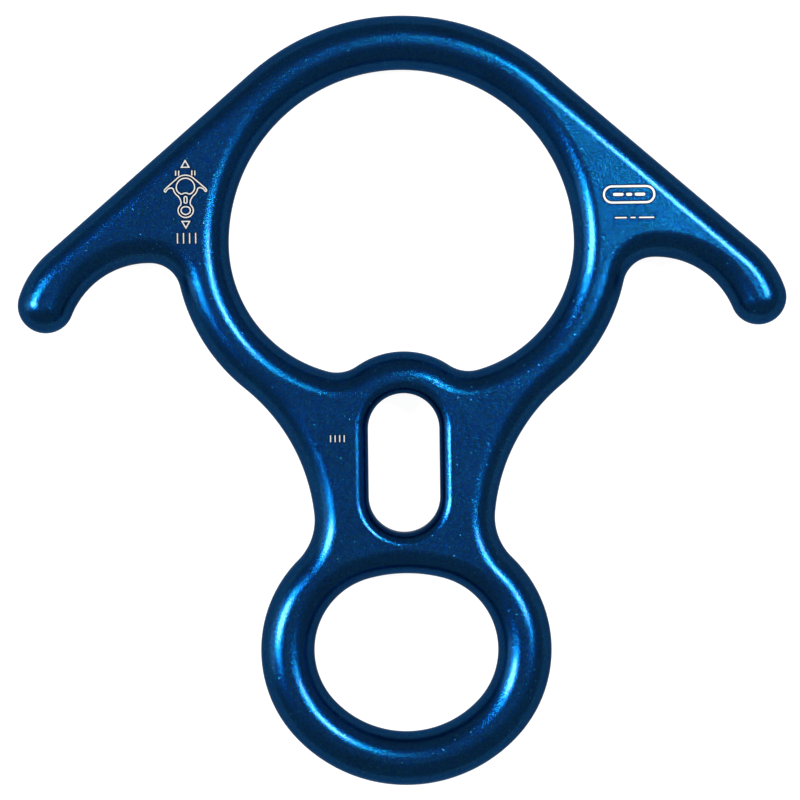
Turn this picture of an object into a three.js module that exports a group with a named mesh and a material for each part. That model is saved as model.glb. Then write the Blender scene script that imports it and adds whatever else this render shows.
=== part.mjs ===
// Figure eight descender with ears: one forged alloy body lying on its flat face.
// Millimetres, +Z up through the thickness, +Y towards the rope ring.

import * as THREE from "three";

// Thickness and the soft edge that runs round every outline
const bodyThickness = 12.5;
const crestWidth = 0.4;
const slotEdgeDrop = 3.6;

// Rope ring: a round opening whose foot has tighter flanks, centred off the axis, and two corners with a hump
// between them
const ropeHoleRadius = 34.5;
const ropeFlankSpread = 7.9;
const ropeCornerRadius = 7;
const humpRadius = 16.4;
const humpHeight = 4.8;
const ringBarWidth = 10.8;

// Slot in the body and the two bridges of metal above and below it
const slotWidth = 14.3;
const slotLength = 27.8;
const ropeBridgeWidth = 8.4;
const eyeBridgeWidth = 8.2;

// Carabiner eye: an oval of two side arcs, whose centres stand a little off the axis, and a wide arc that swells
// a little beyond them above and below
const eyeSideRadius = 14.8;
const eyeSideSpread = 3.55;
const eyeTopSwell = 0.45;
const eyeBottomSwell = 1.55;
const eyeBarWidth = 10.7;

// Waist between the two rings: the metal on each side of the slot, and the arcs that shape it
const waistSideWidth = 10.9;
const waistNeckRadius = 11.3;
const waistFlareRadius = 37.5;

// Ears: a straight back that leaves the crown of the ring, an arm that ends in a bent nose, and a throat below it.
// The hook depth is how far the nose hangs below the arm, and the root fall how far the throat's corner lies below it.
const earSlopeDegrees = 40.9;
const earBackLength = 61.6;
const earArmWidth = 10.7;
const earBendRadius = 19.6;
const earNoseCrest = 0.4;
const earHookDepth = 2.4;
const earRootFall = 2.8;

// Radius of the throat's corner as a share of the way from the ring to the middle of the nose
const throatCornerShare = 0.21;

// Facets: the most that one facet turns, and the facets in each rounded edge
const facetTurn = THREE.MathUtils.degToRad(7);
const edgeFacets = 5;
const leastFacet = 0.002;

// Widths worked out from the sizes above
const edgeReach = (Math.min(ringBarWidth, eyeBarWidth, earArmWidth) - crestWidth) / 2;
const edgeDrop = bodyThickness / 2;
const slotRimWidth = Math.min(ropeBridgeWidth, eyeBridgeWidth, waistSideWidth);
const slotEdgeReach = slotRimWidth - edgeReach - crestWidth;
const earNoseRadius = edgeReach + earNoseCrest;

// A circle that an outline runs round, on its outside or on its inside
function outside(centre, radius) {
  return { centre, radius, bend: 1 };
}

function inside(centre, radius) {
  return { centre, radius, bend: -1 };
}

function place(x, y) {
  return new THREE.Vector2(x, y);
}

// The point at two given distances from two centres, on the left (1) or right (-1) of the way between them
function meeting(first, firstDistance, second, secondDistance, hand) {
  const way = second.clone().sub(first);
  const span = way.length();
  const along = (firstDistance ** 2 - secondDistance ** 2 + span ** 2) / (2 * span);
  const across = Math.sqrt(firstDistance ** 2 - along ** 2) * hand;
  way.normalize();
  return place(
    first.x + way.x * along - way.y * across,
    first.y + way.y * along + way.x * across,
  );
}

// The point of a circle that an outline passes with the given normal. The normal points away from what the
// outline encloses, so on an inside circle it points at the centre.
function rimPoint(circle, normal) {
  return circle.centre.clone().addScaledVector(normal, circle.bend * circle.radius);
}

// The shared normal where a clockwise outline leaves one circle and meets the next along a straight line
function tangentNormal(from, to) {
  const way = to.centre.clone().sub(from.centre);
  const share = (from.bend * from.radius - to.bend * to.radius) / way.length();
  const turn = Math.acos(THREE.MathUtils.clamp(share, -1, 1));
  const angle = way.angle() + turn;
  return place(Math.cos(angle), Math.sin(angle));
}

// Rim points of one circle between two normals: clockwise round its outside, the other way round its inside
function arcPoints(circle, startNormal, endNormal) {
  const start = startNormal.angle();
  const full = 2 * Math.PI;
  const turned = (start - endNormal.angle()) * circle.bend;
  const sweep = THREE.MathUtils.euclideanModulo(turned, full);
  const facets = Math.max(1, Math.ceil(sweep / facetTurn));
  const points = [];
  for (let step = 0; step <= facets; step += 1) {
    const angle = start - (circle.bend * sweep * step) / facets;
    const normal = place(Math.cos(angle), Math.sin(angle));
    points.push({ rim: rimPoint(circle, normal), normal });
  }
  return points;
}

// A closed, mirrored outline from the circles of its right half, listed from the top of the axis to its foot
function mirroredOutline(circles) {
  const normals = [place(0, 1)];
  for (let index = 1; index < circles.length; index += 1) {
    normals.push(tangentNormal(circles[index - 1], circles[index]));
  }
  normals.push(place(0, -1));

  const half = [];
  circles.forEach((circle, index) => {
    for (const point of arcPoints(circle, normals[index], normals[index + 1])) {
      const last = half[half.length - 1];
      if (!last || last.rim.distanceTo(point.rim) > leastFacet) {
        half.push(point);
      }
    }
  });

  const mirrored = half.slice(1, -1).reverse().map(({ rim, normal }) => ({
    rim: place(-rim.x, rim.y),
    normal: place(-normal.x, normal.y),
  }));
  return half.concat(mirrored);
}

// Rope ring opening, centred on the drawing's own origin
const ropeCentre = place(0, 0);
const ropeFlankRadius = ropeHoleRadius - ropeFlankSpread;
const flankCentre = place(ropeFlankSpread, 0);
const humpTop = humpHeight - ropeFlankRadius;
const humpCentre = place(0, humpTop - humpRadius);
const ropeCornerCentre = meeting(
  flankCentre,
  ropeFlankRadius - ropeCornerRadius,
  humpCentre,
  humpRadius + ropeCornerRadius,
  1,
);
const ropeHole = mirroredOutline([
  outside(ropeCentre, ropeHoleRadius),
  outside(flankCentre, ropeFlankRadius),
  outside(ropeCornerCentre, ropeCornerRadius),
  inside(humpCentre, humpRadius),
]);

// Slot: two half circles on the axis
const slotTop = humpTop - ropeBridgeWidth;
const slotFoot = slotTop - slotLength;
const slotEndRadius = slotWidth / 2;
const slot = mirroredOutline([
  outside(place(0, slotTop - slotEndRadius), slotEndRadius),
  outside(place(0, slotFoot + slotEndRadius), slotEndRadius),
]);

// Carabiner eye: each wide arc is centred on the axis, as far past the line of the side centres as lets it touch
// the side arcs and swell past them by the given amount
function wideArcSetback(swell) {
  return (eyeSideSpread ** 2 - swell ** 2) / (2 * swell);
}

const eyeTop = slotFoot - eyeBridgeWidth;
const eyeSideCentre = place(eyeSideSpread, eyeTop - eyeTopSwell - eyeSideRadius);
const eyeTopSetback = wideArcSetback(eyeTopSwell);
const eyeTopCentre = place(0, eyeSideCentre.y - eyeTopSetback);
const eyeTopRadius = eyeSideRadius + eyeTopSwell + eyeTopSetback;
const eyeBottomSetback = wideArcSetback(eyeBottomSwell);
const eyeBottomCentre = place(0, eyeSideCentre.y + eyeBottomSetback);
const eyeBottomRadius = eyeSideRadius + eyeBottomSwell + eyeBottomSetback;
const eye = mirroredOutline([
  outside(eyeTopCentre, eyeTopRadius),
  outside(eyeSideCentre, eyeSideRadius),
  outside(eyeBottomCentre, eyeBottomRadius),
]);

// Ear: places along and below the straight back, which touches the crown of the ring
const earSlope = THREE.MathUtils.degToRad(earSlopeDegrees);
const crownRadius = ropeHoleRadius + ringBarWidth;

function earPlace(along, depth) {
  const up = crownRadius - depth;
  return place(
    Math.cos(earSlope) * along + Math.sin(earSlope) * up,
    Math.cos(earSlope) * up - Math.sin(earSlope) * along,
  );
}

const noseDepth = earArmWidth + earHookDepth - earNoseRadius;
const noseCentre = earPlace(earBackLength, noseDepth);
const bendRun = Math.sqrt((earBendRadius - earNoseRadius) ** 2 - (earBendRadius - noseDepth) ** 2);
const earBendCentre = earPlace(earBackLength - bendRun, earBendRadius);

// How far along the straight back a circle round the ring's flank centre reaches, at a given depth below the back
const ringFlankRadius = ropeFlankRadius + ringBarWidth;

function flankRun(radius, depth) {
  const along = flankCentre.x * Math.cos(earSlope);
  const centreDepth = crownRadius - flankCentre.x * Math.sin(earSlope);
  return along + Math.sqrt(radius ** 2 - (depth - centreDepth) ** 2);
}

// Throat below the ear: its corner touches the ring, and its wide arc touches the corner, the arm and the nose
const rootDepth = earArmWidth + earRootFall;
const throatSpan = earBackLength - flankRun(ringFlankRadius, rootDepth);
const throatCornerRadius = throatSpan * throatCornerShare;
const cornerDepth = rootDepth + throatCornerRadius;
const cornerAlong = flankRun(ringFlankRadius + throatCornerRadius, cornerDepth);
const throatCornerCentre = earPlace(cornerAlong, cornerDepth);

// The wide arc of radius r has two runs along the arm: to the nose, sqrt(hook * (2r + 2nose - hook)), and back to
// the corner, sqrt(fall * (2r - 2corner - fall)). Together they span the way from the corner to the nose.
function wideArcRadius(span, hook, nose, fall, corner) {
  const noseTerm = hook * (2 * nose - hook);
  const cornerTerm = fall * (2 * corner + fall);
  const ratio = fall / hook;
  const whole = span ** 2 + cornerTerm + ratio * noseTerm;
  const noseRun = whole / (span + Math.sqrt(span ** 2 + (ratio - 1) * whole));
  return (noseRun ** 2 - noseTerm) / (2 * hook);
}

const cornerToNose = earBackLength - cornerAlong;
const throatRadius = wideArcRadius(
  cornerToNose,
  earHookDepth,
  earNoseRadius,
  earRootFall,
  throatCornerRadius,
);
const throatCentre = meeting(
  throatCornerCentre,
  throatRadius - throatCornerRadius,
  noseCentre,
  throatRadius + earNoseRadius,
  -1,
);

// Waist: a tight neck just above the eye, and a long flare up to the ring
const eyeShoulderRadius = eyeSideRadius + eyeBarWidth;
const neckX = slotWidth / 2 + waistSideWidth + waistNeckRadius;
const neckRise = Math.sqrt((waistNeckRadius + eyeShoulderRadius) ** 2 - (neckX - eyeSideCentre.x) ** 2);
const neckCentre = place(neckX, eyeSideCentre.y + neckRise);
const flareCentre = meeting(
  neckCentre,
  waistFlareRadius - waistNeckRadius,
  flankCentre,
  waistFlareRadius + ringFlankRadius,
  -1,
);

// Outer outline, from the crown over the ear and throat and down round the eye
const outer = mirroredOutline([
  outside(ropeCentre, crownRadius),
  outside(earBendCentre, earBendRadius),
  outside(noseCentre, earNoseRadius),
  inside(throatCentre, throatRadius),
  inside(throatCornerCentre, throatCornerRadius),
  outside(flankCentre, ringFlankRadius),
  inside(flareCentre, waistFlareRadius),
  inside(neckCentre, waistNeckRadius),
  outside(eyeSideCentre, eyeShoulderRadius),
  outside(eyeBottomCentre, eyeBottomRadius + eyeBarWidth),
]);

// Insets and heights of an edge from the lower flat to the upper flat, round a quarter of an ellipse at each face
function edgeProfile(reach, drop) {
  const lower = [];
  for (let step = 0; step <= edgeFacets; step += 1) {
    const turn = (Math.PI / 2) * (1 - step / edgeFacets);
    lower.push({
      inset: reach * (1 - Math.cos(turn)),
      height: drop * (1 - Math.sin(turn)),
    });
  }
  const upper = lower.map(({ inset, height }) => ({ inset, height: bodyThickness - height })).reverse();
  const walled = drop < bodyThickness / 2;
  return lower.concat(walled ? upper : upper.slice(1));
}

// One walled loop: rings of points at each step of the edge. The metal lies inward (1) or outward (-1) of it.
function loopRings(outline, reach, drop, metalSide) {
  return edgeProfile(reach, drop).map(({ inset, height }) => outline.map(({ rim, normal }) => {
    const moved = rim.clone().addScaledVector(normal, -metalSide * inset);
    return new THREE.Vector3(moved.x, moved.y, height);
  }));
}

// The closed body: a band of facets round each loop, and a flat on each face between the loops
function bodyGeometry(loops) {
  const positions = [];
  const faces = [];

  function addPoint(point) {
    positions.push(point.x, point.y, point.z);
    return positions.length / 3 - 1;
  }

  function addFace(a, b, c, flip) {
    faces.push(...(flip ? [a, c, b] : [a, b, c]));
  }

  const numbered = loops.map(({ rings, metalSide }) => {
    const numbers = rings.map((ring) => ring.map(addPoint));
    for (let level = 1; level < numbers.length; level += 1) {
      const below = numbers[level - 1];
      const above = numbers[level];
      below.forEach((_, index) => {
        const next = (index + 1) % below.length;
        addFace(below[index], below[next], above[next], metalSide > 0);
        addFace(below[index], above[next], above[index], metalSide > 0);
      });
    }
    return numbers;
  });

  function addFlat(pick, flip) {
    const outlines = loops.map(({ rings }) => pick(rings).map(({ x, y }) => place(x, y)));
    const numbers = numbered.map(pick).flat();
    const [contour, ...holes] = outlines;
    for (const [a, b, c] of THREE.ShapeUtils.triangulateShape(contour, holes)) {
      addFace(numbers[a], numbers[b], numbers[c], flip);
    }
  }

  addFlat((rings) => rings[0], true);
  addFlat((rings) => rings[rings.length - 1], false);

  const geometry = new THREE.BufferGeometry();
  geometry.setAttribute("position", new THREE.Float32BufferAttribute(positions, 3));
  geometry.setIndex(faces);
  geometry.computeVertexNormals();
  return geometry;
}

function makeLoop(outline, reach, drop, metalSide) {
  return { rings: loopRings(outline, reach, drop, metalSide), metalSide };
}

const blueAnodised = new THREE.MeshStandardMaterial({ color: 0x0b4a8c, roughness: 0.3, metalness: 0.9 });

const body = new THREE.Mesh(
  bodyGeometry([
    makeLoop(outer, edgeReach, edgeDrop, 1),
    makeLoop(ropeHole, edgeReach, edgeDrop, -1),
    makeLoop(slot, slotEdgeReach, slotEdgeDrop, -1),
    makeLoop(eye, edgeReach, edgeDrop, -1),
  ]),
  blueAnodised,
);
body.name = "descender_body";

// The middle of the overall length lies on the group's origin
const crownTop = crownRadius;
const eyeFoot = eyeBottomCentre.y - eyeBottomRadius - eyeBarWidth;
body.position.set(0, -(crownTop + eyeFoot) / 2, 0);

const descender = new THREE.Group();
descender.name = "figure_eight_descender";
descender.add(body);

export default descender;
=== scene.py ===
# Looks of the figure eight descender: a forged, blasted and blue anodised alloy body on a white table.
# Lengths are in metres. The outline is the same belt round circles as in the solid model.

import math

import bpy
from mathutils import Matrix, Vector
from mathutils.geometry import tessellate_polygon


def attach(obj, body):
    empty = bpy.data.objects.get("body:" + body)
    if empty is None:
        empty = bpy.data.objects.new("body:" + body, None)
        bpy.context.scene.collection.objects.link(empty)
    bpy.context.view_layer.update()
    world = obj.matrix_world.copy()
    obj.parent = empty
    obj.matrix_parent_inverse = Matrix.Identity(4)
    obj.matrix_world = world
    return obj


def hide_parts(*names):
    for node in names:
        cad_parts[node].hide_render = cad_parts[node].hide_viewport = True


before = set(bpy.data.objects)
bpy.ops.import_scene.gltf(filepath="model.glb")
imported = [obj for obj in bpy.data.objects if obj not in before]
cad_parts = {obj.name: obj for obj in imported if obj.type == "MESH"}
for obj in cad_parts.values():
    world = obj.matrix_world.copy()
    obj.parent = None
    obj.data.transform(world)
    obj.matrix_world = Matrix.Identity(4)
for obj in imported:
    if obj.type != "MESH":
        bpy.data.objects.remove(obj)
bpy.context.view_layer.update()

# Thickness and the soft edge that runs round every outline
BODY_THICKNESS = 0.0125
CREST_WIDTH = 0.0004
SLOT_EDGE_DROP = 0.0036

# Rope ring and the hump at its foot
ROPE_HOLE_RADIUS = 0.0345
ROPE_FLANK_SPREAD = 0.0079
ROPE_CORNER_RADIUS = 0.007
HUMP_RADIUS = 0.0164
HUMP_HEIGHT = 0.0048
RING_BAR_WIDTH = 0.0108

# Slot and the two bridges of metal above and below it
SLOT_WIDTH = 0.0143
SLOT_LENGTH = 0.0278
ROPE_BRIDGE_WIDTH = 0.0084
EYE_BRIDGE_WIDTH = 0.0082

# Carabiner eye
EYE_SIDE_RADIUS = 0.0148
EYE_SIDE_SPREAD = 0.00355
EYE_TOP_SWELL = 0.00045
EYE_BOTTOM_SWELL = 0.00155
EYE_BAR_WIDTH = 0.0107

# Waist between the two rings
WAIST_SIDE_WIDTH = 0.0109
WAIST_NECK_RADIUS = 0.0113
WAIST_FLARE_RADIUS = 0.0375

# Ears
EAR_SLOPE = math.radians(40.9)
EAR_BACK_LENGTH = 0.0616
EAR_ARM_WIDTH = 0.0107
EAR_BEND_RADIUS = 0.0196
EAR_NOSE_CREST = 0.0004
EAR_HOOK_DEPTH = 0.0024
EAR_ROOT_FALL = 0.0028
THROAT_CORNER_SHARE = 0.21

# Fineness of the mesh
ARC_STEP = math.radians(1.5)
EDGE_STEPS = 28
LEAST_STEP = 0.000002
MARK_END_STEPS = 10

# Strokes of the marks: how far they stand over the face and reach into it, and the dark line drawn beside
# them
MARK_LINE = 0.00023
MARK_HEIGHT = 0.000015
MARK_DEPTH = 0.00005
DARK_LINE_WIDTH = 0.0002
DARK_LINE_HEIGHT = 0.000007

# Picture of the loaded descender on the left ear. Each arrow has its height over the picture's middle
# and its way, up (1) or down (-1). The strands stand beside the middle, and their feet over it.
PICTURE_PLACE = (-0.0426, 0.0409)
PICTURE_SHARE = 0.056
ARROW_REACH = 0.0011
ARROWS = ((0.0062, 1), (-0.0054, -1))
STRAND_OFFSETS = (-0.0019, -0.0013, 0.0013, 0.0019)
STRAND_FOOT = 0.0042
STRAND_LENGTH = 0.0008

# Plain ticks below the picture and on the hub
RATING_PLACE = (-0.0425, 0.0326)
RATING_HEIGHT = 0.0021
RATING_PITCH = 0.0012
BATCH_PLACE = (-0.01315, -0.00744)
BATCH_HEIGHT = 0.0014
BATCH_PITCH = 0.0009
TICK_COUNT = 4

# Plain frame on the right ear, the bars in it and the broken line below it
FRAME_MARK_PLACE = (0.0452, 0.0402)
FRAME_MARK_LENGTH = 0.0104
FRAME_MARK_HEIGHT = 0.0036
FRAME_MARK_LINE = 0.0004
FRAME_BAR_LENGTHS = (0.0021, 0.0012, 0.0021)
FRAME_BAR_WIDTH = 0.0006
FRAME_BAR_GAP = 0.0005
NOTE_PLACE = (0.0462, 0.0356)
NOTE_LENGTHS = (0.0024, 0.001, 0.003)
NOTE_GAP = 0.0007

# Texture of the skin and its painted glints: scales in features per metre, depths in metres, and the part
# of each texture's range that is spread over its whole effect
CLOUD_SCALE = 90
GRAIN_SCALE = 3400
SPECK_SCALE = 2600
SHOT_SCALE = 4200
PIT_AND_GLINT_SCALE = 520
CLOUD_DETAIL = 3
GRAIN_DETAIL = 3
SPECK_DETAIL = 2
SKIN_GRAIN_ROUGHNESS = 0.7
PLAIN_GRAIN_ROUGHNESS = 0.5
GRAIN_DEPTH = 0.00004
SHOT_DEPTH = 0.000008
PIT_DEPTH = 0.00002
COAT_GRAIN_DEPTH = 0.000007
MARK_GRAIN_DEPTH = 0.00001
CLOUD_RANGE = (0.3, 0.7)
SPECK_RANGE = (0.35, 0.65)
PIT_RANGE = (0.02, 0.08)
# Painted glints: the distances from a pit's middle, as shares of the pit spacing, over which the lighter
# glint colour fades out
PAINTED_GLINT_RANGE = (0.04, 0.11)
WORN_RANGE = (0.38, 0.62)
MARK_TONE_RANGE = (0.3, 0.7)
CLOUD_SHARE = 0.25
BURNISHED_SHARES = (0.08, 0.8)

# Colours and gloss of the skin and of the marks, with the colour of the painted glints
DYE_DEEP = (0, 0.021, 0.15, 1)
DYE_LIGHT = (0, 0.047, 0.33, 1)
# Painted glint: a lighter colour put into the blasted metal at the middle of each pit, standing in for
# glints of light
PAINTED_GLINT_COLOUR = (0.05, 0.34, 0.6, 1)
BURNISHED_DEEP = (0.002, 0.07, 0.1, 1)
BURNISHED_LIGHT = (0.004, 0.16, 0.23, 1)
RIM_TINT = (0.3, 0.52, 0.78, 1)
MARK_DULL = (0.5, 0.49, 0.475, 1)
MARK_PALE = (0.68, 0.665, 0.645, 1)
DARK_LINE_DEEP = (0, 0.002, 0.012, 1)
DARK_LINE_LIGHT = (0, 0.008, 0.04, 1)
BLASTED_ROUGHNESS = 0.26
BURNISHED_ROUGHNESS = 0.11
MARK_ROUGHNESS = 0.45
COAT_WEIGHT = 0.036
COAT_IOR = 3
COAT_ROUGHNESS = 0.08

# Table and room. A lift is what the camera, or a gloss on the object, sees on top of the lit card.
TABLE_WIDTH = 4
TABLE_GAP = 0.00005
TABLE_SHADE = 0.22
TABLE_LIFT = 0.95
TABLE_GLOSS_LIFT = 0.1
ROOM_SHADE = 0.21

# Soft lamps round the object. Each leans from straight above, by degrees to the right (x) and upwards (y)
# in the photograph. Its distance and size are in metres and its power is in watts.
LAMPS = {
    "left_lamp": dict(lean_x=-45, lean_y=6, distance=1.2, width=0.36, height=0.52, power=14.5),
    "right_lamp": dict(lean_x=21, lean_y=17, distance=1.2, width=0.29, height=0.31, power=6.3),
    "low_right_lamp": dict(lean_x=32, lean_y=8, distance=1.2, width=0.24, height=0.21, power=3.6),
    "web_softbox": dict(lean_x=22, lean_y=10, distance=1.5, width=0.7, height=0.7, power=0.55),
    "overhead_softbox": dict(lean_x=0, lean_y=8, distance=1.5, width=1.4, height=1.4, power=0.45),
    "left_panel": dict(lean_x=-74, lean_y=4, distance=1.5, width=1, height=0.82, power=2.1),
}

# Camera
SENSOR_WIDTH = 36
CAMERA_HEIGHT = 0.6
CAMERA_TURN = math.radians(0.72)
FRAME_WIDTH = 0.16
FRAME_CENTRE_X = -0.00066
FRAME_CENTRE_Y = 0.00006

edge_reach = (min(RING_BAR_WIDTH, EYE_BAR_WIDTH, EAR_ARM_WIDTH) - CREST_WIDTH) / 2
edge_drop = BODY_THICKNESS / 2
slot_rim_width = min(ROPE_BRIDGE_WIDTH, EYE_BRIDGE_WIDTH, WAIST_SIDE_WIDTH)
slot_edge_reach = slot_rim_width - edge_reach - CREST_WIDTH
ear_nose_radius = edge_reach + EAR_NOSE_CREST


# Circles that an outline runs round, on the outside (bend 1) or on the inside (bend -1)
def outside(centre, radius):
    return centre, radius, 1


def inside(centre, radius):
    return centre, radius, -1


def place(x, y):
    return Vector((x, y))


def meeting(first, first_distance, second, second_distance, hand):
    """The point at two distances from two centres, left (1) or right (-1) of the way between them."""
    way = second - first
    span = way.length
    along = (first_distance ** 2 - second_distance ** 2 + span ** 2) / (2 * span)
    across = math.sqrt(first_distance ** 2 - along ** 2) * hand
    way.normalize()
    return first + way * along + place(-way.y, way.x) * across


def tangent_angle(start, end):
    """Angle of the shared normal where a clockwise outline goes straight from one circle to the next."""
    way = end[0] - start[0]
    share = (start[2] * start[1] - end[2] * end[1]) / way.length
    return math.atan2(way.y, way.x) + math.acos(max(-1, min(1, share)))


def arc_points(circle, start, end):
    """Rim points of one circle between two normal angles, each with its normal."""
    centre, radius, bend = circle
    sweep = ((start - end) * bend) % (2 * math.pi)
    steps = max(1, math.ceil(sweep / ARC_STEP))
    points = []
    for step in range(steps + 1):
        angle = start - bend * sweep * step / steps
        normal = place(math.cos(angle), math.sin(angle))
        points.append((centre + normal * (bend * radius), normal))
    return points


def mirrored_outline(circles):
    """A closed outline from the circles of its right half, from the top of the axis to its foot."""
    angles = [math.pi / 2]
    for start, end in zip(circles, circles[1:]):
        angles.append(tangent_angle(start, end))
    angles.append(-math.pi / 2)
    half = []
    for index, circle in enumerate(circles):
        for rim, normal in arc_points(circle, angles[index], angles[index + 1]):
            if not half or (rim - half[-1][0]).length > LEAST_STEP:
                half.append((rim, normal))
    mirrored = [(place(-rim.x, rim.y), place(-normal.x, normal.y)) for rim, normal in reversed(half[1:-1])]
    return half + mirrored


# Rope ring opening, centred on the drawing's own origin
rope_centre = place(0, 0)
rope_flank_radius = ROPE_HOLE_RADIUS - ROPE_FLANK_SPREAD
flank_centre = place(ROPE_FLANK_SPREAD, 0)
hump_top = HUMP_HEIGHT - rope_flank_radius
hump_centre = place(0, hump_top - HUMP_RADIUS)
rope_corner_centre = meeting(
    flank_centre,
    rope_flank_radius - ROPE_CORNER_RADIUS,
    hump_centre,
    HUMP_RADIUS + ROPE_CORNER_RADIUS,
    1,
)
rope_hole = mirrored_outline([
    outside(rope_centre, ROPE_HOLE_RADIUS),
    outside(flank_centre, rope_flank_radius),
    outside(rope_corner_centre, ROPE_CORNER_RADIUS),
    inside(hump_centre, HUMP_RADIUS),
])

# Slot
slot_top = hump_top - ROPE_BRIDGE_WIDTH
slot_foot = slot_top - SLOT_LENGTH
slot_end_radius = SLOT_WIDTH / 2
slot = mirrored_outline([
    outside(place(0, slot_top - slot_end_radius), slot_end_radius),
    outside(place(0, slot_foot + slot_end_radius), slot_end_radius),
])


# Carabiner eye
def wide_arc_setback(swell):
    return (EYE_SIDE_SPREAD ** 2 - swell ** 2) / (2 * swell)


eye_top = slot_foot - EYE_BRIDGE_WIDTH
eye_side_centre = place(EYE_SIDE_SPREAD, eye_top - EYE_TOP_SWELL - EYE_SIDE_RADIUS)
eye_top_setback = wide_arc_setback(EYE_TOP_SWELL)
eye_top_centre = place(0, eye_side_centre.y - eye_top_setback)
eye_top_radius = EYE_SIDE_RADIUS + EYE_TOP_SWELL + eye_top_setback
eye_bottom_setback = wide_arc_setback(EYE_BOTTOM_SWELL)
eye_bottom_centre = place(0, eye_side_centre.y + eye_bottom_setback)
eye_bottom_radius = EYE_SIDE_RADIUS + EYE_BOTTOM_SWELL + eye_bottom_setback
eye = mirrored_outline([
    outside(eye_top_centre, eye_top_radius),
    outside(eye_side_centre, EYE_SIDE_RADIUS),
    outside(eye_bottom_centre, eye_bottom_radius),
])

# Ear: places along and below the straight back, which touches the crown of the ring
crown_radius = ROPE_HOLE_RADIUS + RING_BAR_WIDTH


def ear_place(along, depth):
    up = crown_radius - depth
    return place(
        math.cos(EAR_SLOPE) * along + math.sin(EAR_SLOPE) * up,
        math.cos(EAR_SLOPE) * up - math.sin(EAR_SLOPE) * along,
    )


nose_depth = EAR_ARM_WIDTH + EAR_HOOK_DEPTH - ear_nose_radius
nose_centre = ear_place(EAR_BACK_LENGTH, nose_depth)
bend_run = math.sqrt((EAR_BEND_RADIUS - ear_nose_radius) ** 2 - (EAR_BEND_RADIUS - nose_depth) ** 2)
ear_bend_centre = ear_place(EAR_BACK_LENGTH - bend_run, EAR_BEND_RADIUS)
ring_flank_radius = rope_flank_radius + RING_BAR_WIDTH


def flank_run(radius, depth):
    along = flank_centre.x * math.cos(EAR_SLOPE)
    centre_depth = crown_radius - flank_centre.x * math.sin(EAR_SLOPE)
    return along + math.sqrt(radius ** 2 - (depth - centre_depth) ** 2)


# Throat below the ear
root_depth = EAR_ARM_WIDTH + EAR_ROOT_FALL
throat_span = EAR_BACK_LENGTH - flank_run(ring_flank_radius, root_depth)
throat_corner_radius = throat_span * THROAT_CORNER_SHARE
corner_depth = root_depth + throat_corner_radius
corner_along = flank_run(ring_flank_radius + throat_corner_radius, corner_depth)
throat_corner_centre = ear_place(corner_along, corner_depth)


def wide_arc_radius(span, hook, nose, fall, corner):
    nose_term = hook * (2 * nose - hook)
    corner_term = fall * (2 * corner + fall)
    ratio = fall / hook
    whole = span ** 2 + corner_term + ratio * nose_term
    nose_run = whole / (span + math.sqrt(span ** 2 + (ratio - 1) * whole))
    return (nose_run ** 2 - nose_term) / (2 * hook)


throat_radius = wide_arc_radius(
    EAR_BACK_LENGTH - corner_along,
    EAR_HOOK_DEPTH,
    ear_nose_radius,
    EAR_ROOT_FALL,
    throat_corner_radius,
)
throat_centre = meeting(
    throat_corner_centre,
    throat_radius - throat_corner_radius,
    nose_centre,
    throat_radius + ear_nose_radius,
    -1,
)

# Waist
eye_shoulder_radius = EYE_SIDE_RADIUS + EYE_BAR_WIDTH
neck_x = SLOT_WIDTH / 2 + WAIST_SIDE_WIDTH + WAIST_NECK_RADIUS
neck_rise = math.sqrt((WAIST_NECK_RADIUS + eye_shoulder_radius) ** 2 - (neck_x - eye_side_centre.x) ** 2)
neck_centre = place(neck_x, eye_side_centre.y + neck_rise)
flare_centre = meeting(
    neck_centre,
    WAIST_FLARE_RADIUS - WAIST_NECK_RADIUS,
    flank_centre,
    WAIST_FLARE_RADIUS + ring_flank_radius,
    -1,
)

# Outer outline, from the crown over the ear and throat and down round the eye
outer = mirrored_outline([
    outside(rope_centre, crown_radius),
    outside(ear_bend_centre, EAR_BEND_RADIUS),
    outside(nose_centre, ear_nose_radius),
    inside(throat_centre, throat_radius),
    inside(throat_corner_centre, throat_corner_radius),
    outside(flank_centre, ring_flank_radius),
    inside(flare_centre, WAIST_FLARE_RADIUS),
    inside(neck_centre, WAIST_NECK_RADIUS),
    outside(eye_side_centre, eye_shoulder_radius),
    outside(eye_bottom_centre, eye_bottom_radius + EYE_BAR_WIDTH),
])
eye_foot = eye_bottom_centre.y - eye_bottom_radius - EYE_BAR_WIDTH
middle = (crown_radius + eye_foot) / 2


def edge_profile(reach, drop):
    """Inset and height of the edge, and how far its normal points out and up, from lower to upper flat."""
    lower = []
    for step in range(EDGE_STEPS + 1):
        turn = math.pi / 2 * (1 - step / EDGE_STEPS)
        out, up = math.cos(turn) / reach, math.sin(turn) / drop
        size = math.hypot(out, up)
        lower.append((reach * (1 - math.cos(turn)), drop * (1 - math.sin(turn)), out / size, -up / size))
    upper = [(inset, BODY_THICKNESS - height, out, -up) for inset, height, out, up in reversed(lower)]
    walled = drop < BODY_THICKNESS / 2
    return lower + (upper if walled else upper[1:])


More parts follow.
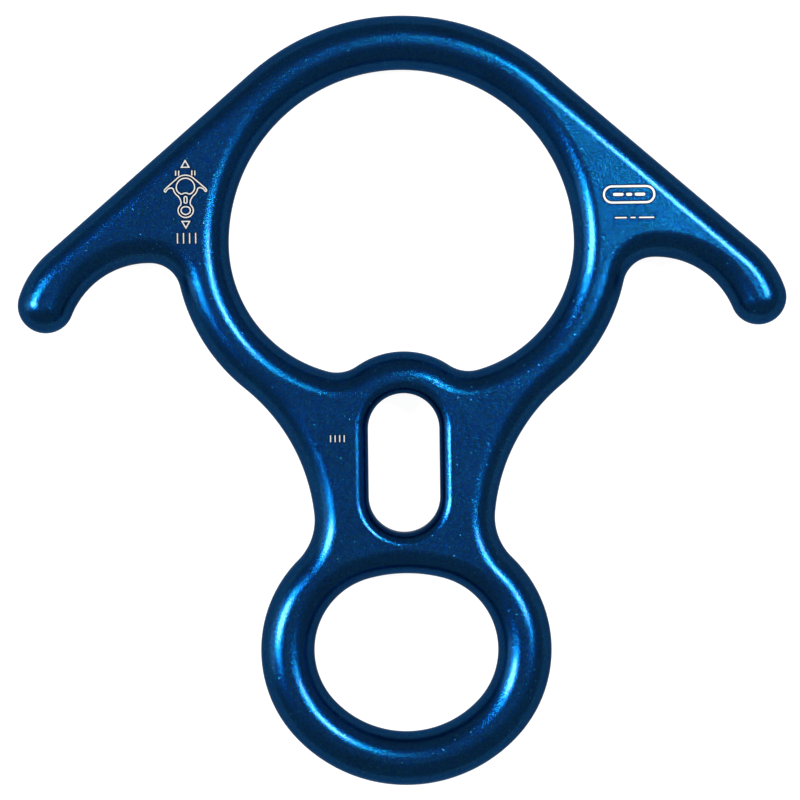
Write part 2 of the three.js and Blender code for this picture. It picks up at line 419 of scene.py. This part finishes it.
class Solid:
    """Points with their normals, and faces, of one closed body."""

    def __init__(self):
        self.points = []
        self.normals = []
        self.faces = []

    def ring(self, points, normals):
        first = len(self.points)
        self.points += points
        self.normals += normals
        return list(range(first, len(self.points)))

    def band(self, below, above, flip):
        for index in range(len(below)):
            after = (index + 1) % len(below)
            face = [below[index], below[after], above[after], above[index]]
            self.faces.append(face[::-1] if flip else face)

    def edge(self, outline, reach, drop, metal_side):
        """The rounded edge round one outline, with the metal inward (1) or outward (-1) of it."""
        rings = []
        for inset, height, out, up in edge_profile(reach, drop):
            moved = [rim - normal * (metal_side * inset) for rim, normal in outline]
            points = [(spot.x, spot.y - middle, height) for spot in moved]
            leaning = [normal * (metal_side * out) for _, normal in outline]
            normals = [(lean.x, lean.y, up) for lean in leaning]
            rings.append(self.ring(points, normals))
        for below, above in zip(rings, rings[1:]):
            self.band(below, above, metal_side > 0)
        return rings[0], rings[-1]

    def flat(self, rings, side):
        """A flat face between rings, facing up (1) or down (-1)."""
        numbers = [number for ring in rings for number in ring]
        loops = [[Vector(self.points[number]) for number in ring] for ring in rings]
        for corners in tessellate_polygon(loops):
            face = [numbers[corner] for corner in corners]
            first, second, third = (Vector(self.points[number]) for number in face)
            turned = (second - first).cross(third - second).z * side
            self.faces.append(face if turned > 0 else face[::-1])

    def build(self, name):
        mesh = bpy.data.meshes.new(name)
        mesh.from_pydata(self.points, [], self.faces)
        mesh.polygons.foreach_set("use_smooth", [True] * len(mesh.polygons))
        mesh.normals_split_custom_set_from_vertices(self.normals)
        piece = bpy.data.objects.new(name, mesh)
        bpy.context.scene.collection.objects.link(piece)
        return piece


def forging():
    solid = Solid()
    edges = [
        solid.edge(outer, edge_reach, edge_drop, 1),
        solid.edge(rope_hole, edge_reach, edge_drop, -1),
        solid.edge(slot, slot_edge_reach, SLOT_EDGE_DROP, -1),
        solid.edge(eye, edge_reach, edge_drop, -1),
    ]
    solid.flat([lowest for lowest, _ in edges], -1)
    solid.flat([highest for _, highest in edges], 1)
    return solid.build("descender_forging")


class Marks(Solid):
    """Strokes that stand a little over the upper face, each made wider by the swell on both sides."""

    def __init__(self, swell, height):
        super().__init__()
        self.swell = swell
        self.foot = BODY_THICKNESS - MARK_DEPTH
        self.top = BODY_THICKNESS + height

    def raised(self, loop):
        """A loop at the foot and at the top of the strokes."""
        level = [(0, 0, 1)] * len(loop)
        return [
            self.ring([(spot.x, spot.y, height) for spot in loop], level)
            for height in (self.foot, self.top)
        ]

    def line(self, outer_loop, inner_loop):
        """A closed line of even width between two loops that turn left."""
        foot, rim = self.raised(outer_loop)
        inner_foot, inner_rim = self.raised(inner_loop)
        for below, above in ((foot, rim), (rim, inner_rim), (inner_rim, inner_foot), (inner_foot, foot)):
            self.band(below, above, False)

    def stroke(self, start, end, width):
        """A straight stroke with half-round ends."""
        foot, rim = self.raised(capsule_loop(start, end, width / 2 + self.swell))
        self.band(foot, rim, False)
        self.faces.append(foot[::-1])
        self.faces.append(rim)


def capsule_loop(start, end, radius):
    """A loop with half-round ends about a straight line, turning left."""
    along = (end - start).normalized()
    across = place(-along.y, along.x)
    loop = []
    for centre, hand in ((end, 1), (start, -1)):
        for step in range(MARK_END_STEPS + 1):
            turn = math.pi * step / MARK_END_STEPS
            loop.append(centre + (along * math.sin(turn) - across * math.cos(turn)) * (radius * hand))
    return loop


def triangle_loop(centre, reach, hand):
    """An even-sided triangle that points up (1) or down (-1), turning left."""
    turns = [math.pi * (0.5 + 2 * step / 3) for step in range(3)]
    return [centre + place(math.cos(turn), math.sin(turn)) * (reach * hand) for turn in turns]


def small_outline(outline, centre, shift):
    """An outline of the part itself, scaled down to a mark and moved inwards, turning left."""
    return [
        centre + place(rim.x, rim.y - middle) * PICTURE_SHARE - normal * shift
        for rim, normal in reversed(outline)
    ]


def load_picture(drawn):
    """The part in outline between two arrowheads, with both strands of the rope above it."""
    centre = place(*PICTURE_PLACE)
    for outline in (outer, rope_hole, slot, eye):
        drawn.line(
            small_outline(outline, centre, -drawn.swell),
            small_outline(outline, centre, MARK_LINE + drawn.swell),
        )
    for offset, hand in ARROWS:
        spot = centre + place(0, offset)
        drawn.line(
            triangle_loop(spot, ARROW_REACH + 2 * drawn.swell, hand),
            triangle_loop(spot, ARROW_REACH - 2 * (MARK_LINE + drawn.swell), hand),
        )
    for offset in STRAND_OFFSETS:
        foot = centre + place(offset, STRAND_FOOT)
        drawn.stroke(foot, foot + place(0, STRAND_LENGTH), MARK_LINE)


def bar_row(drawn, row_place, lengths, width, gap):
    """A row of short level bars, centred on a place."""
    x, y = row_place
    x -= (sum(lengths) + gap * (len(lengths) - 1)) / 2
    for length in lengths:
        drawn.stroke(place(x + width / 2, y), place(x + length - width / 2, y), width)
        x += length + gap


def tick_row(drawn, row_place, height, pitch):
    """A row of short upright bars, centred on a place."""
    x, y = row_place
    half = (height - MARK_LINE) / 2
    for index in range(TICK_COUNT):
        at = x + (index - (TICK_COUNT - 1) / 2) * pitch
        drawn.stroke(place(at, y - half), place(at, y + half), MARK_LINE)


def plain_frame(drawn):
    """A plain long frame, where a maker would put a sign."""
    x, y = FRAME_MARK_PLACE
    radius = FRAME_MARK_HEIGHT / 2
    half = FRAME_MARK_LENGTH / 2 - radius
    ends = place(x - half, y), place(x + half, y)
    drawn.line(
        capsule_loop(*ends, radius + drawn.swell),
        capsule_loop(*ends, radius - FRAME_MARK_LINE - drawn.swell),
    )


def marks(name, swell, height):
    """All the marks of the face as one thin object."""
    drawn = Marks(swell, height)
    load_picture(drawn)
    tick_row(drawn, RATING_PLACE, RATING_HEIGHT, RATING_PITCH)
    plain_frame(drawn)
    bar_row(drawn, FRAME_MARK_PLACE, FRAME_BAR_LENGTHS, FRAME_BAR_WIDTH, FRAME_BAR_GAP)
    bar_row(drawn, NOTE_PLACE, NOTE_LENGTHS, MARK_LINE, NOTE_GAP)
    tick_row(drawn, BATCH_PLACE, BATCH_HEIGHT, BATCH_PITCH)
    return drawn.build(name)


class Nodes:
    """A material and the nodes that make it up."""

    def __init__(self, name):
        self.material = bpy.data.materials.new(name)
        self.material.use_nodes = True
        self.tree = self.material.node_tree
        self.tree.nodes.clear()

    def add(self, kind, inputs=None, **settings):
        node = self.tree.nodes.new(kind)
        for key, value in settings.items():
            setattr(node, key, value)
        for key, value in (inputs or {}).items():
            if isinstance(value, bpy.types.NodeSocket):
                self.tree.links.new(value, node.inputs[key])
            else:
                node.inputs[key].default_value = value
        return node

    def noise(self, where, scale, detail, roughness):
        return self.add("ShaderNodeTexNoise", {
            "Vector": where, "Scale": scale, "Detail": detail, "Roughness": roughness,
        }).outputs["Fac"]

    def cells(self, where, scale):
        """Distance from the nearest of many scattered points, as a share of their spacing."""
        return self.add("ShaderNodeTexVoronoi", {"Vector": where, "Scale": scale}).outputs["Distance"]

    def spread(self, value, span, results=(0, 1), bend="LINEAR"):
        """The span of a value, spread out over the results and kept between them."""
        return self.add("ShaderNodeMapRange", {
            "Value": value,
            "From Min": span[0],
            "From Max": span[1],
            "To Min": results[0],
            "To Max": results[1],
        }, interpolation_type=bend).outputs["Result"]

    def blend(self, share, first, second):
        """The first colour, going over to the second with the share."""
        node = self.add("ShaderNodeMix", {"Factor": share}, data_type="RGBA")
        for key, colour in (("A", first), ("B", second)):
            if isinstance(colour, bpy.types.NodeSocket):
                self.tree.links.new(colour, node.inputs[key])
            else:
                node.inputs[key].default_value = colour
        return node.outputs["Result"]

    def relief(self, height, depth, under=None):
        """Fine relief of a depth, over the relief under it."""
        inputs = {"Height": height, "Strength": 1, "Distance": depth}
        if under:
            inputs["Normal"] = under
        return self.add("ShaderNodeBump", inputs).outputs["Normal"]

    def metal(self, colour, roughness, normal, **more):
        """Metal of a colour, with any more of the shader's own inputs by name."""
        inputs = {"Base Color": colour, "Metallic": 1, "Roughness": roughness, "Normal": normal}
        for key, value in more.items():
            inputs[key.replace("_", " ")] = value
        return self.add("ShaderNodeBsdfPrincipled", inputs).outputs["BSDF"]

    def output(self, surface):
        self.add("ShaderNodeOutputMaterial", {"Surface": surface})
        return self.material


def anodised_alloy():
    """Blue dye under a clear hard coat, over blasted metal that is burnished on its high spots. Painted
    glints, lighter specks in the blasted metal's colour at the pits, stand in for glints of light.
    """
    made = Nodes("blue_anodised_alloy")
    where = made.add("ShaderNodeTexCoord").outputs["Object"]
    cloud = made.noise(where, CLOUD_SCALE, CLOUD_DETAIL, PLAIN_GRAIN_ROUGHNESS)
    grain = made.noise(where, GRAIN_SCALE, GRAIN_DETAIL, SKIN_GRAIN_ROUGHNESS)
    speck = made.noise(where, SPECK_SCALE, SPECK_DETAIL, PLAIN_GRAIN_ROUGHNESS)
    pit_and_glint_cells = made.cells(where, PIT_AND_GLINT_SCALE)
    shot = made.cells(where, SHOT_SCALE)

    dye = made.add("ShaderNodeMix", {
        0: CLOUD_SHARE, 2: made.spread(speck, SPECK_RANGE), 3: made.spread(cloud, CLOUD_RANGE),
    }, data_type="FLOAT").outputs["Result"]
    # Painted glint: the blasted metal's colour goes lighter at the middle of each pit, standing in for
    # glints of light
    painted_glint = made.spread(pit_and_glint_cells, PAINTED_GLINT_RANGE, (1, 0), "SMOOTHSTEP")
    blasted_colour_and_painted_glints = made.blend(painted_glint, made.blend(dye, DYE_DEEP, DYE_LIGHT), PAINTED_GLINT_COLOUR)
    burnished_colour = made.blend(dye, BURNISHED_DEEP, BURNISHED_LIGHT)

    waves = made.relief(grain, GRAIN_DEPTH)
    dimples = made.relief(shot, SHOT_DEPTH, waves)
    pitted = made.relief(made.spread(pit_and_glint_cells, PIT_RANGE, bend="SMOOTHSTEP"), PIT_DEPTH, dimples)
    gloss = {
        "Specular_Tint": RIM_TINT,
        "Coat_Weight": COAT_WEIGHT,
        "Coat_IOR": COAT_IOR,
        "Coat_Roughness": COAT_ROUGHNESS,
        "Coat_Normal": made.relief(grain, COAT_GRAIN_DEPTH),
    }
    skin = made.add("ShaderNodeMixShader", {
        0: made.spread(grain, WORN_RANGE, BURNISHED_SHARES),
        1: made.metal(blasted_colour_and_painted_glints, BLASTED_ROUGHNESS, pitted, **gloss),
        2: made.metal(burnished_colour, BURNISHED_ROUGHNESS, pitted, **gloss),
    })
    return made.output(skin.outputs["Shader"])


def mark_metal(name, dull, pale):
    """Satin metal with a fine grain, for the strokes of the marks and for the dark line drawn beside them.
    """
    made = Nodes(name)
    where = made.add("ShaderNodeTexCoord").outputs["Object"]
    grain = made.noise(where, GRAIN_SCALE, GRAIN_DETAIL, PLAIN_GRAIN_ROUGHNESS)
    colour = made.blend(made.spread(grain, MARK_TONE_RANGE), dull, pale)
    return made.output(made.metal(colour, MARK_ROUGHNESS, made.relief(grain, MARK_GRAIN_DEPTH)))


def white_table():
    """White card that keeps the object's shadow. The camera sees it lifted to white, a gloss a little."""
    made = Nodes("white_table")
    path = made.add("ShaderNodeLightPath").outputs
    mirrored = made.add("ShaderNodeMath", {
        0: path["Is Glossy Ray"], 1: path["Is Transmission Ray"],
    }, operation="ADD", use_clamp=True).outputs["Value"]
    straight = made.add("ShaderNodeMath", {
        0: path["Is Camera Ray"], 1: TABLE_LIFT,
    }, operation="MULTIPLY").outputs["Value"]
    strength = made.add("ShaderNodeMath", {
        0: mirrored, 1: TABLE_GLOSS_LIFT, 2: straight,
    }, operation="MULTIPLY_ADD").outputs["Value"]
    lift = made.add("ShaderNodeEmission", {"Color": (1, 1, 1, 1), "Strength": strength})
    card = made.add("ShaderNodeBsdfDiffuse", {"Color": (TABLE_SHADE, TABLE_SHADE, TABLE_SHADE, 1)})
    both = made.add("ShaderNodeAddShader", {0: card.outputs["BSDF"], 1: lift.outputs["Emission"]})
    return made.output(both.outputs["Shader"])


def table():
    reach = TABLE_WIDTH / 2
    corners = [(-reach, -reach, 0), (reach, -reach, 0), (reach, reach, 0), (-reach, reach, 0)]
    mesh = bpy.data.meshes.new("table")
    mesh.from_pydata(corners, [], [(0, 1, 2, 3)])
    piece = bpy.data.objects.new("table", mesh)
    piece.location.z = -TABLE_GAP
    bpy.context.scene.collection.objects.link(piece)
    piece.data.materials.append(white_table())


def softbox(name, lean_x, lean_y, distance, width, height, power):
    """A soft lamp that faces the object, and that the camera doesn't see."""
    lean = math.radians(math.hypot(lean_x, lean_y))
    round_way = math.atan2(lean_y, lean_x)
    lamp = bpy.data.lights.new(name, "AREA")
    lamp.shape = "ELLIPSE"
    lamp.size = width
    lamp.size_y = height
    lamp.energy = power
    piece = bpy.data.objects.new(name, lamp)
    aside = place(math.cos(round_way), math.sin(round_way)) * math.sin(lean)
    toward = Vector((aside.x, aside.y, math.cos(lean)))
    piece.location = toward * distance
    piece.rotation_euler = toward.to_track_quat("Z", "Y").to_euler()
    piece.visible_camera = False
    bpy.context.scene.collection.objects.link(piece)


def sky():
    """Even grey light from all round. Seen straight by the camera the room is as white as the table."""
    world = bpy.data.worlds.new("studio")
    bpy.context.scene.world = world
    world.use_nodes = True
    tree = world.node_tree
    path = tree.nodes.new("ShaderNodeLightPath")
    lift = tree.nodes.new("ShaderNodeMath")
    lift.operation = "MULTIPLY_ADD"
    tree.links.new(path.outputs["Is Camera Ray"], lift.inputs[0])
    lift.inputs[1].default_value = 1 - ROOM_SHADE
    lift.inputs[2].default_value = ROOM_SHADE
    background = tree.nodes["Background"]
    background.inputs["Color"].default_value = (1, 1, 1, 1)
    tree.links.new(lift.outputs["Value"], background.inputs["Strength"])


def camera():
    """Straight above the object, turned a little, as the photograph was taken."""
    data = bpy.data.cameras.new("camera")
    data.sensor_width = SENSOR_WIDTH
    data.lens = SENSOR_WIDTH * CAMERA_HEIGHT / FRAME_WIDTH
    piece = bpy.data.objects.new("camera", data)
    piece.location = (FRAME_CENTRE_X, FRAME_CENTRE_Y, CAMERA_HEIGHT + BODY_THICKNESS / 2)
    piece.rotation_euler = (0, 0, -CAMERA_TURN)
    bpy.context.scene.collection.objects.link(piece)
    bpy.context.scene.camera = piece


body = forging()
body.data.materials.append(anodised_alloy())
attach(body, "root")
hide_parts("descender_body")

signs = marks("surface_marks", 0, MARK_HEIGHT)
signs.data.materials.append(mark_metal("pale_satin_mark", MARK_DULL, MARK_PALE))
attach(signs, "root")
# The same strokes made wider, low and dark, give a dark line round each mark
dark_lines = marks("surface_marks_edge", DARK_LINE_WIDTH, DARK_LINE_HEIGHT)
dark_lines.data.materials.append(mark_metal("dark_line_beside_marks", DARK_LINE_DEEP, DARK_LINE_LIGHT))
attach(dark_lines, "root")

table()
for name, lamp in LAMPS.items():
    softbox(name, **lamp)
sky()
camera()
bpy.context.scene.view_settings.view_transform = "Standard"
